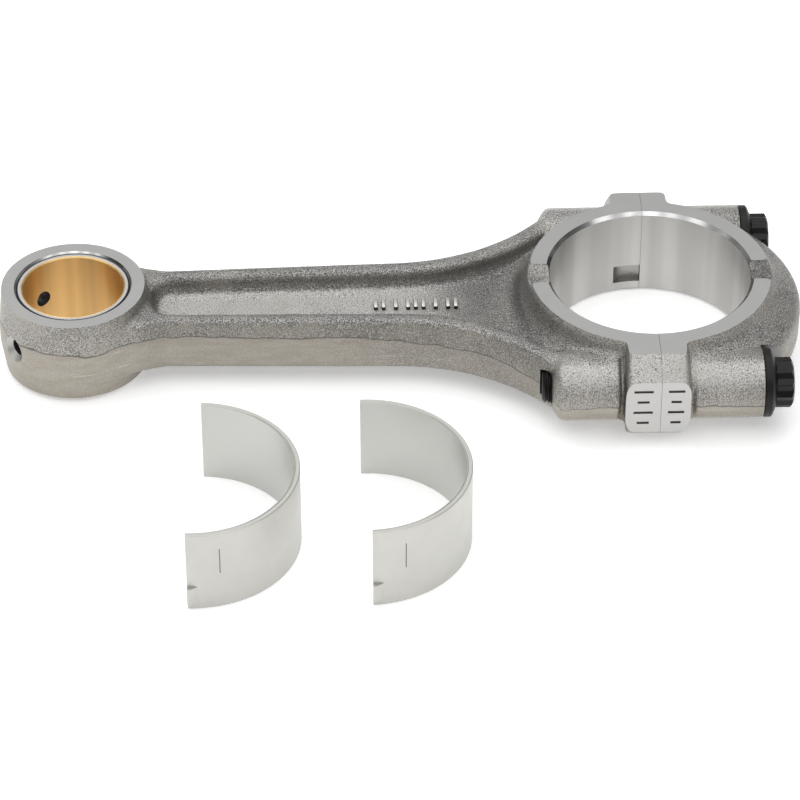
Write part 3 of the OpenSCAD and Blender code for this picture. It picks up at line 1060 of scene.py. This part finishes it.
def oil_drill(machining, side, reach, wall, mouth):
    """Drill for an oil hole, with the countersink at its mouth."""
    hole_r = machining.oil_hole_d / 2
    mouth_r = machining.oil_mouth_d / 2
    depth = mouth_r - hole_r
    bm = turned(
        [
            (0, 0),
            (hole_r, 0),
            (hole_r, reach - depth - 0.5 * MM),
            (mouth_r, reach - 0.5 * MM),
            (mouth_r + OVER, reach + OVER),
            (0, reach + OVER),
        ],
        steps=64,
    )
    paint(bm, lambda middle: 0 if middle.z < reach - depth - 0.5 * MM else 1)
    swung(along_x(bm), math.pi + machining.oil_turn + side * machining.oil_angle)
    return solid("oil_drill", moved(bm, x=SMALL_X), wall, mouth)


def notch_tool(machining, side, finish):
    """Disc cutter that leaves the tang notch beside the parting line."""
    centre_x = machining.notch_l * 0.3
    entry_y = math.sqrt(HOUSING_R**2 - machining.notch_l**2)
    deep_y = HOUSING_R + machining.notch_depth
    across, rise = machining.notch_l - centre_x, deep_y - entry_y
    radius = (across**2 + rise**2) / (2 * rise)
    low = -machining.tang_offset - machining.notch_h / 2
    bm = disc(radius, low, low + machining.notch_h, 96)
    return solid("notch_tool", moved(bm, x=side * centre_x, y=-side * (deep_y - radius)), finish)


def mark_tools(machining, forging, side, finish):
    """Plain strokes engraved on the near pad of one half."""
    width = pad_width(forging, side)
    tools = []
    for row in range(4):
        z = forging.pad_h / 2 - 3.3 * MM - row * 3.75 * MM
        half_w = width * (0.27 if row % 2 == 0 else 0.17)
        low = (side * width / 2 - half_w, -PAD_Y + machining.mark_depth, z - 0.42 * MM)
        high = (side * width / 2 + half_w, -PAD_Y - OVER, z + 0.42 * MM)
        tools.append(face_tool(low, high, finish))
    return tools


def machine_big_end(forged, settings, side):
    """Faces, bores and pads that the rod half and the cap have in common."""
    forging, machining, look = settings.forging, settings.machining, settings.finish
    limit = 2 * CROWN_R
    start = -side * limit
    for way in (-1, 1):
        face = way * HALF_T, way * (HALF_T + 3 * forging.stock)
        pad = way * PAD_Y, way * (PAD_Y + 3 * forging.stock)
        low, high = (start, -limit, face[0]), (side * limit, limit, face[1])
        cut(forged, face_tool(low, high, material(ground_face, look)))
        low, high = (start, pad[0], -limit), (side * limit, pad[1], limit)
        cut(forged, face_tool(low, high, material(milled_pad, look)))
    parting = side * machining.parting_gap / 2
    low, high = (parting, -limit, -limit), (start, limit, limit)
    cut(forged, face_tool(low, high, material(parting_face, look)))
    wall, edge = material(bored_wall, look), material(bright_chamfer, look)
    cut(forged, bore_tool(HOUSING_R, HALF_T, machining.housing_chamfer, wall, edge))
    # The tang notch takes a darker finish as painted shade.
    cut(forged, notch_tool(machining, side, material(milled_pocket, look)))
    for tool in mark_tools(machining, forging, side, material(dark_mark, look)):
        cut(forged, tool)


# ---------------------------------------------------------------- pieces


def raised_marks(forging, finish):
    """Plain raised strokes on the web, as a forging die leaves."""
    base = forging.web_t / 2 - 0.9 * MM
    top = forging.web_t / 2 + 0.9 * MM
    x = -forging.rod_boss_l - forging.flare_start - 5 * MM
    marks = []
    for step in (0, 1, 2.6, 4.2, 5.2, 6.2, 7.8, 9.4, 10.4):
        low = (x + step * 2.3 * MM, -2.2 * MM, base)
        bm = block(low, (low[0] + 1.2 * MM, 2.2 * MM, top))
        rounded(bm, [e for e in bm.edges if all(v.co.z > base for v in e.verts)], 0.3 * MM, 2)
        marks.append(solid("raised_mark", bm, finish))
    return marks


def small_end_blank(forging):
    """Small end with stock on its faces and a trimmed band round its side."""
    face_r = BUSH_R + forging.small_face_w
    top = SMALL_HALF_T + forging.stock
    band = SMALL_R - forging.band_proud
    bm = turned(
        [
            (0, -top),
            (face_r, -top),
            (face_r, -SMALL_HALF_T),
            (SMALL_R - 0.5 * MM, -8 * MM),
            (SMALL_R, -4 * MM),
            (SMALL_R, 2.4 * MM),
            (band, 3.4 * MM),
            (band - 0.2 * MM, 6 * MM),
            (face_r, SMALL_HALF_T),
            (face_r, top),
            (0, top),
        ]
    )
    return solid("small_end_blank", moved(bm, x=SMALL_X))


def shank_blank(forging):
    """Shank with its flare, its neck, its trimmed band and both channels."""
    half, proud = forging.shank_t / 2, forging.band_proud
    sections = [
        (inset * MM + lift * proud, z * half)
        for inset, lift, z in (
            (1.2, 0, -1.03), (0.5, 0, -0.98), (0.1, 0, -0.88), (0, 0, -0.7), (0, 0, -0.4),
            (0, 0, 0.30), (0, 1, 0.38), (0, 1, 0.7), (0, 1, 0.88), (0.2, 1, 0.98),
            (0.7, 1, 1.03), (1.4, 1, 1.06),
        )
    ]

    def shank_section(bm, inset, z):
        return shank_outline(bm, forging, inset, SMALL_X, z)

    def neck_section(bm, inset, z):
        return neck_outline(bm, forging, inset, z)

    shank = solid("shank_blank", lofted(shank_section, sections))
    add(shank, solid("neck_blank", lofted(neck_section, sections)))
    for side in (-1, 1):
        cut(shank, channel_tool(forging, side))
    return shank


class ConrodOperator(Operator):
    """Base of the operators: undo in one step."""

    bl_options = {"REGISTER", "UNDO"}


class CONROD_OT_rod(ConrodOperator):
    """Forge and machine the rod"""

    bl_idname = "conrod.rod"
    bl_label = "Build Rod"

    def execute(self, context):
        settings = context.scene.connecting_rod
        forging, machining, look = settings.forging, settings.machining, settings.finish
        skin = material(forged_skin, look)
        blanks = [small_end_blank(forging), shank_blank(forging), ring_blank(forging, -1)]
        blanks += boss_blanks(forging, -1, forging.rod_boss_l)
        blanks += pad_blanks(forging, -1)
        rod = rounded_forging("forged_rod", blanks, forging, skin)
        for mark in raised_marks(forging, material(die_mark, look)):
            add(rod, mark)
        machine_big_end(rod, settings, -1)
        ground = material(ground_face, look)
        for way in (-1, 1):
            low, high = sorted((way * SMALL_HALF_T, way * (SMALL_HALF_T + 3 * forging.stock)))
            tool = solid("face_tool", moved(disc(SMALL_R + OVER, low, high), x=SMALL_X), ground)
            cut(rod, tool)
        # The bolt holes and oil holes take near-black painted shade; the oil holes' countersinks take the
        # bored finish.
        wall, dark = material(bored_wall, look), material(oily_hole, look)
        hole_r = settings.bolt.thread_d / 2 + machining.thread_clearance
        for way in (-1, 1):
            cut(rod, drill(hole_r, BOLT_LOW.x - machining.hole_runout, OVER, way * BOLT_Y, dark))
            cut(rod, oil_drill(machining, way, SMALL_R, dark, wall))
        edge = material(bright_chamfer, look)
        cut(rod, bore_tool(BUSH_R, SMALL_HALF_T, machining.seat_chamfer, wall, edge, SMALL_X))
        smooth_shading(rod)
        present(rod, "rod", "rod_body")
        return {"FINISHED"}


class CONROD_OT_cap(ConrodOperator):
    """Forge and machine the bearing cap"""

    bl_idname = "conrod.cap"
    bl_label = "Build Cap"

    def execute(self, context):
        settings = context.scene.connecting_rod
        forging, machining, look = settings.forging, settings.machining, settings.finish
        blanks = [ring_blank(forging, 1)]
        blanks += boss_blanks(forging, 1, forging.cap_boss_l + forging.stock)
        blanks += pad_blanks(forging, 1)
        cap = rounded_forging("forged_cap", blanks, forging, material(forged_skin, look))
        machine_big_end(cap, settings, 1)
        ground = material(ground_face, look)
        spot_r = FLANGE_R + machining.spot_margin
        hole_r = settings.bolt.thread_d / 2 + machining.hole_clearance
        seat = forging.cap_boss_l
        for way in (-1, 1):
            cut(cap, drill(spot_r, seat, 2 * CROWN_R, way * BOLT_Y, ground))
            low = (seat, way * BOLT_Y, -HALF_T - OVER)
            high = (2 * CROWN_R, way * (BOLT_Y + 2 * spot_r), HALF_T + OVER)
            cut(cap, face_tool(low, high, ground))
            # The bolt holes take near-black painted shade.
            cut(cap, drill(hole_r, -OVER, 2 * CROWN_R, way * BOLT_Y, material(oily_hole, look)))
        smooth_shading(cap)
        present(cap, "cap", "rod_cap")
        return {"FINISHED"}


def twelve_point_head(bolt, low, high):
    """Twelve-point head: a star whose tips are those of two crossed hexagons."""
    tip_r = bolt.head_af / 2 / math.cos(math.radians(30))
    valley_r = bolt.head_af / 2 / math.cos(math.radians(15))
    bm = bmesh.new()
    made = bmesh.ops.create_circle(bm, cap_ends=True, segments=24, radius=tip_r)
    for index, vert in enumerate(made["verts"]):
        if index % 2:
            vert.co *= valley_r / tip_r
    moved(bm, z=low)
    raised(bm, high - low)
    upright = [e for e in bm.edges if abs(e.verts[0].co.z - e.verts[1].co.z) > WELD]
    rounded(bm, upright, 0.22 * MM, 3)
    head = solid("head_blank", bm)
    crown, dish_r = 0.9 * MM, 2.6 * MM
    rim_r = tip_r - crown * 1.3
    trim = turned(
        [
            (0, low - OVER),
            (tip_r + OVER, low - OVER),
            (tip_r + OVER, high - crown - OVER * 0.55),
            (rim_r, high),
            (rim_r - 1.2 * MM, high - 0.02 * MM),
            (dish_r, high - crown),
            (0, high - crown),
        ],
        steps=96,
    )
    combine(head, solid("head_trim", trim), "INTERSECT")
    return head


def thread(bolt, low, high):
    """Helical thread between two heights, cut square at both ends."""
    major, minor = bolt.thread_d / 2, bolt.thread_d / 2 - RIDGE * bolt.pitch
    flat = bolt.pitch / 8
    turns = math.ceil((high - low) / bolt.pitch) + 2
    steps = 48
    bm = bmesh.new()
    start = low - bolt.pitch
    outline = [(minor, 0), (minor, flat), (major, bolt.pitch / 2), (major, bolt.pitch / 2 + flat)]
    outline.append((minor, bolt.pitch))
    points = [bm.verts.new((r, 0, start + z)) for r, z in outline]
    for a, b in zip(points, points[1:]):
        bm.edges.new((a, b))
    bmesh.ops.spin(
        bm,
        geom=bm.verts[:] + bm.edges[:],
        cent=(0, 0, 0),
        axis=(0, 0, 1),
        dvec=(0, 0, bolt.pitch / steps),
        angle=math.tau * turns,
        steps=steps * turns,
    )
    bmesh.ops.remove_doubles(bm, verts=bm.verts, dist=0.002 * MM)
    for height, way in ((low, -1), (high, 1)):
        bmesh.ops.bisect_plane(
            bm,
            geom=bm.verts[:] + bm.edges[:] + bm.faces[:],
            plane_co=(0, 0, height),
            plane_no=(0, 0, way),
            clear_outer=True,
        )
    bmesh.ops.holes_fill(bm, edges=[edge for edge in bm.edges if edge.is_boundary])
    return solid("thread", bm)


def bolt_body(bolt, seat, tip):
    """Core of a bolt under its ridge, its waist, its pilot and its flange."""
    shank_r, waist_r = bolt.thread_d / 2, bolt.waist_d / 2
    root_r = shank_r - RIDGE * bolt.pitch + 0.02 * MM
    thread_end, flange_top = tip + bolt.thread_l, seat + bolt.flange_t
    collar_r, neck_r, lift = 7.6 * MM, 6.2 * MM, 0.5 * MM
    profile = [
        (0, tip + 0.3 * MM),
        (root_r - 0.32 * MM, tip + 0.3 * MM),
        (root_r, tip + 0.9 * MM),
        (root_r, thread_end - 0.6 * MM),
        (waist_r, thread_end + 0.4 * MM),
        (waist_r, seat - bolt.pilot_l - 1.2 * MM),
        (shank_r, seat - bolt.pilot_l),
        (shank_r, seat - 0.3 * MM),
        (FLANGE_R - 0.35 * MM, seat),
        (FLANGE_R, seat + 0.35 * MM),
        (FLANGE_R, flange_top - 1.5 * MM),
        (FLANGE_R - 0.5 * MM, flange_top - 1.0 * MM),
        (collar_r, flange_top - 0.1 * MM),
        (neck_r, flange_top + lift),
        (0, flange_top + lift),
    ]
    return solid("bolt_body", turned(profile, steps=96))


def trimmed_thread(bolt, tip):
    """The ridge, cut to the thread's diameter and tapered at both ends."""
    shank_r, thread_end = bolt.thread_d / 2, tip + bolt.thread_l
    screw = thread(bolt, tip, thread_end)
    profile = [
        (0, tip - OVER),
        (shank_r - 1.0 * MM, tip - 0.01 * MM),
        (shank_r + 0.1 * MM, tip + 1.1 * MM),
        (shank_r + 0.1 * MM, thread_end - 1.0 * MM),
        (shank_r - RIDGE * bolt.pitch, thread_end),
        (0, thread_end + 0.01 * MM),
    ]
    combine(screw, solid("thread_trim", turned(profile, steps=96)), "INTERSECT")
    return screw


class CONROD_OT_bolts(ConrodOperator):
    """Make the two flanged cap bolts"""

    bl_idname = "conrod.bolts"
    bl_label = "Build Bolts"

    def execute(self, context):
        settings = context.scene.connecting_rod
        bolt, look = settings.bolt, settings.finish
        oxide = material(black_oxide, look)
        tip, end = BOLT_LOW.x, BOLT_HIGH.x
        seat = settings.forging.cap_boss_l + 0.05 * MM
        flange_top = seat + bolt.flange_t
        for name, side in (("near", -1), ("far", 1)):
            body = bolt_body(bolt, seat, tip)
            add(body, twelve_point_head(bolt, flange_top - 0.6 * MM, end))
            add(body, trimmed_thread(bolt, tip))
            body.data.transform(Matrix.Rotation(math.pi / 2, 4, "Y"))
            body.data.transform(Matrix.Translation((0, side * BOLT_Y, 0)))
            body.name = f"cap_bolt_{name}_finished"
            body.data.materials.clear()
            body.data.materials.append(oxide)
            smooth_shading(body, 28)
            present(body, f"bolt_{name}", f"cap_bolt_{name}")
        return {"FINISHED"}


class CONROD_OT_bush(ConrodOperator):
    """Make the small end bush, its steel back and its bronze lining"""

    bl_idname = "conrod.bush"
    bl_label = "Build Bush"

    def execute(self, context):
        settings = context.scene.connecting_rod
        look = settings.finish
        half = BUSH_L / 2
        rim_r = BUSH_R - 0.5 * MM
        outer_edge, inner_edge = 0.6 * MM, 0.3 * MM
        dark = material(oily_hole, look)
        outer = [
            (BUSH_LINING_R, -half),
            (BUSH_R - outer_edge, -half),
            (BUSH_R, -half + outer_edge),
            (BUSH_R, half - outer_edge),
            (BUSH_R - outer_edge, half),
            (BUSH_LINING_R, half),
        ]
        tube = moved(turned(outer), x=SMALL_X)
        back = solid("bush_back", tube, material(turned_bush, look), dark)
        # The outer chamfers take near-black painted shade, for the groove between bush and seat; the oil
        # holes take it too.
        for face in back.data.polygons:
            if abs(face.normal.z) > 0.2 and (face.center.xy - Vector((SMALL_X, 0))).length > rim_r:
                face.material_index = 1
        inner = [
            (PIN_R, -half + inner_edge),
            (PIN_R + inner_edge, -half),
            (BUSH_LINING_R, -half),
            (BUSH_LINING_R, half),
            (PIN_R + inner_edge, half),
            (PIN_R, half - inner_edge),
        ]
        tube = moved(turned(inner), x=SMALL_X)
        lining = solid("bush_lining", tube, material(bronze_lining, look))
        for piece in (back, lining):
            for way in (-1, 1):
                cut(piece, oil_drill(settings.machining, way, SMALL_R + OVER, dark, dark))
            smooth_shading(piece)
        present(back, "rod", "small_end_bush_back")
        present(lining, "rod", "small_end_bush_lining")
        return {"FINISHED"}


def half_ring(inner, outer, edge, low, high, turn):
    """Half a ring open towards -X, with small chamfers along its rims."""
    rims = [
        (inner, low + edge),
        (inner + edge, low),
        (outer - edge, low),
        (outer, low + edge),
        (outer, high - edge),
        (outer - edge, high),
        (inner + edge, high),
        (inner, high - edge),
    ]
    return turned(rims, angle=math.pi, start=turn - math.pi / 2, steps=ROUND // 2)


def tang_wedge(shell, z, turn):
    """Tang pressed out of a shell's back: deepest at the parting edge, then running out."""
    root = -HOUSING_R + 0.6 * MM
    outline = [
        (0, -HOUSING_R - shell.tang_depth),
        (shell.tang_l * 0.35, -HOUSING_R - shell.tang_depth),
        (shell.tang_l, -HOUSING_R + 0.1 * MM),
        (shell.tang_l, root),
        (0, root),
    ]
    bm = bmesh.new()
    for x, y in outline:
        for way in (-1, 1):
            bm.verts.new((x, y, z + way * shell.tang_h / 2))
    bmesh.ops.convex_hull(bm, input=bm.verts[:])
    return swung(bm, turn)


def tang_dent(shell, z, turn):
    """Cutter for the hollow that the tang leaves inside."""
    inner_r = HOUSING_R - shell.wall
    low = (-OVER, -HOUSING_R + 0.9 * MM, z - shell.tang_h * 0.4)
    high = (shell.tang_l * 0.8, -inner_r + OVER, z + shell.tang_h * 0.4)
    return swung(block(low, high), turn)


def scribe_tool(z, turn):
    """Cutter for the scribed line on a shell's back."""
    depth, half_w = 0.12 * MM, 0.16 * MM
    low = (HOUSING_R - depth, -half_w, z + 7 * MM)
    high = (HOUSING_R + OVER, half_w, z + 15.6 * MM)
    return swung(block(low, high), turn)


class CONROD_OT_shells(ConrodOperator):
    """Make the two half bearing shells standing on the bench"""

    bl_idname = "conrod.shells"
    bl_label = "Build Shells"

    def execute(self, context):
        settings = context.scene.connecting_rod
        shell, look = settings.shell, settings.finish
        lining_r = HOUSING_R - shell.wall + shell.lining
        inner_r = HOUSING_R - shell.wall
        low, high = FLOOR_Z, FLOOR_Z + SHELL_W
        tang_z = FLOOR_Z + SHELL_W / 2 - settings.machining.tang_offset
        back_finish = material(flashed_back, look)
        lining_finish = material(shell_surface, look)
        for name, turn in (("upper", shell.upper_turn), ("lower", shell.lower_turn)):
            middle_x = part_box(f"{name}_shell_back")[1].x - HOUSING_R
            middle_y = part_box(f"{name}_shell_lining")[0].y + lining_r
            place = Matrix.Translation((middle_x, middle_y, 0))
            ring = half_ring(lining_r, HOUSING_R, shell.edge, low, high, turn)
            back = solid(f"{name}_back", ring, back_finish)
            ring = half_ring(inner_r, lining_r, shell.edge / 2, low, high, turn)
            lining = solid(f"{name}_lining", ring, lining_finish)
            add(back, solid("tang", tang_wedge(shell, tang_z, turn), back_finish))
            for piece in (back, lining):
                cut(piece, solid("dent_tool", tang_dent(shell, tang_z, turn), back_finish))
            scribe = scribe_tool(tang_z, turn + shell.scribe_angle)
            cut(back, solid("scribe_tool", scribe, material(scribed_line, look)))
            for piece, node, slot in (
                (back, f"{name}_shell_back", "shell_steel"),
                (lining, f"{name}_shell_lining", "shell_alloy"),
            ):
                piece.data.transform(place)
                smooth_shading(piece)
                present(piece, f"{name}_shell", node)
        return {"FINISHED"}


class CONROD_OT_stage(ConrodOperator):
    """Set up the floor, the soft light and the camera"""

    bl_idname = "conrod.stage"
    bl_label = "Set Up Stage"

    def execute(self, context):
        stage = context.scene.connecting_rod.stage
        bm = bmesh.new()
        bmesh.ops.create_grid(bm, x_segments=1, y_segments=1, size=6)
        floor = solid("floor", moved(bm, z=FLOOR_Z - 0.02 * MM), material(pale_floor, stage))
        context.scene.world = studio(stage)
        aim = Vector((stage.aim_x, stage.aim_y, 0))
        for name, power, size, place in (
            ("key_light", stage.key, 0.7, Vector((-0.35, 0.25, 0.75))),
            ("fill_light", stage.fill, 0.6, Vector((0.30, -0.75, 0.55))),
        ):
            lamp = bpy.data.lights.new(name, "AREA")
            lamp.energy = power
            lamp.size = size
            light = bpy.data.objects.new(name, lamp)
            light.location = aim + place
            light.rotation_euler = (-place).to_track_quat("-Z", "Y").to_euler()
            context.collection.objects.link(light)
        back = Vector(
            (
                math.sin(stage.azimuth) * math.cos(stage.elevation),
                -math.cos(stage.azimuth) * math.cos(stage.elevation),
                math.sin(stage.elevation),
            )
        )
        data = bpy.data.cameras.new("camera")
        data.lens = stage.lens
        data.clip_start, data.clip_end = 0.05, 20
        camera = bpy.data.objects.new("camera", data)
        roll = Matrix.Rotation(-stage.roll, 3, "Z")
        camera.rotation_euler = (
            (-back).to_track_quat("-Z", "Y").to_matrix() @ roll.transposed()
        ).to_euler()
        camera.location = aim + back * stage.distance
        context.collection.objects.link(camera)
        context.scene.camera = camera
        context.scene.view_settings.view_transform = "Standard"
        return {"FINISHED"}


class CONROD_PT_panel(Panel):
    """Settings and build buttons"""

    bl_idname = "CONROD_PT_panel"
    bl_label = "Connecting Rod"
    bl_space_type = "VIEW_3D"
    bl_region_type = "UI"
    bl_category = "Connecting Rod"

    def draw(self, context):
        settings = context.scene.connecting_rod
        for group in ("forging", "machining", "bolt", "shell", "finish", "stage"):
            box = self.layout.box()
            box.label(text=group.capitalize())
            values = getattr(settings, group)
            for key in values.__annotations__:
                box.prop(values, key)
        for operator in OPERATORS:
            self.layout.operator(operator.bl_idname)


SETTINGS = (
    ForgingSettings,
    MachiningSettings,
    BoltSettings,
    ShellSettings,
    FinishSettings,
    StageSettings,
    ConnectingRodSettings,
)
OPERATORS = (
    CONROD_OT_rod,
    CONROD_OT_cap,
    CONROD_OT_bolts,
    CONROD_OT_bush,
    CONROD_OT_shells,
    CONROD_OT_stage,
)
CLASSES = (*SETTINGS, *OPERATORS, CONROD_PT_panel)


def register():
    for cls in CLASSES:
        bpy.utils.register_class(cls)
    bpy.types.Scene.connecting_rod = PointerProperty(type=ConnectingRodSettings)


def unregister():
    del bpy.types.Scene.connecting_rod
    for cls in reversed(CLASSES):
        bpy.utils.unregister_class(cls)


def main():
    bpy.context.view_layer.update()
    register()
    bpy.ops.conrod.rod()
    bpy.ops.conrod.cap()
    bpy.ops.conrod.bolts()
    bpy.ops.conrod.bush()
    bpy.ops.conrod.shells()
    bpy.ops.conrod.stage()


if __name__ == "__main__":
    main()
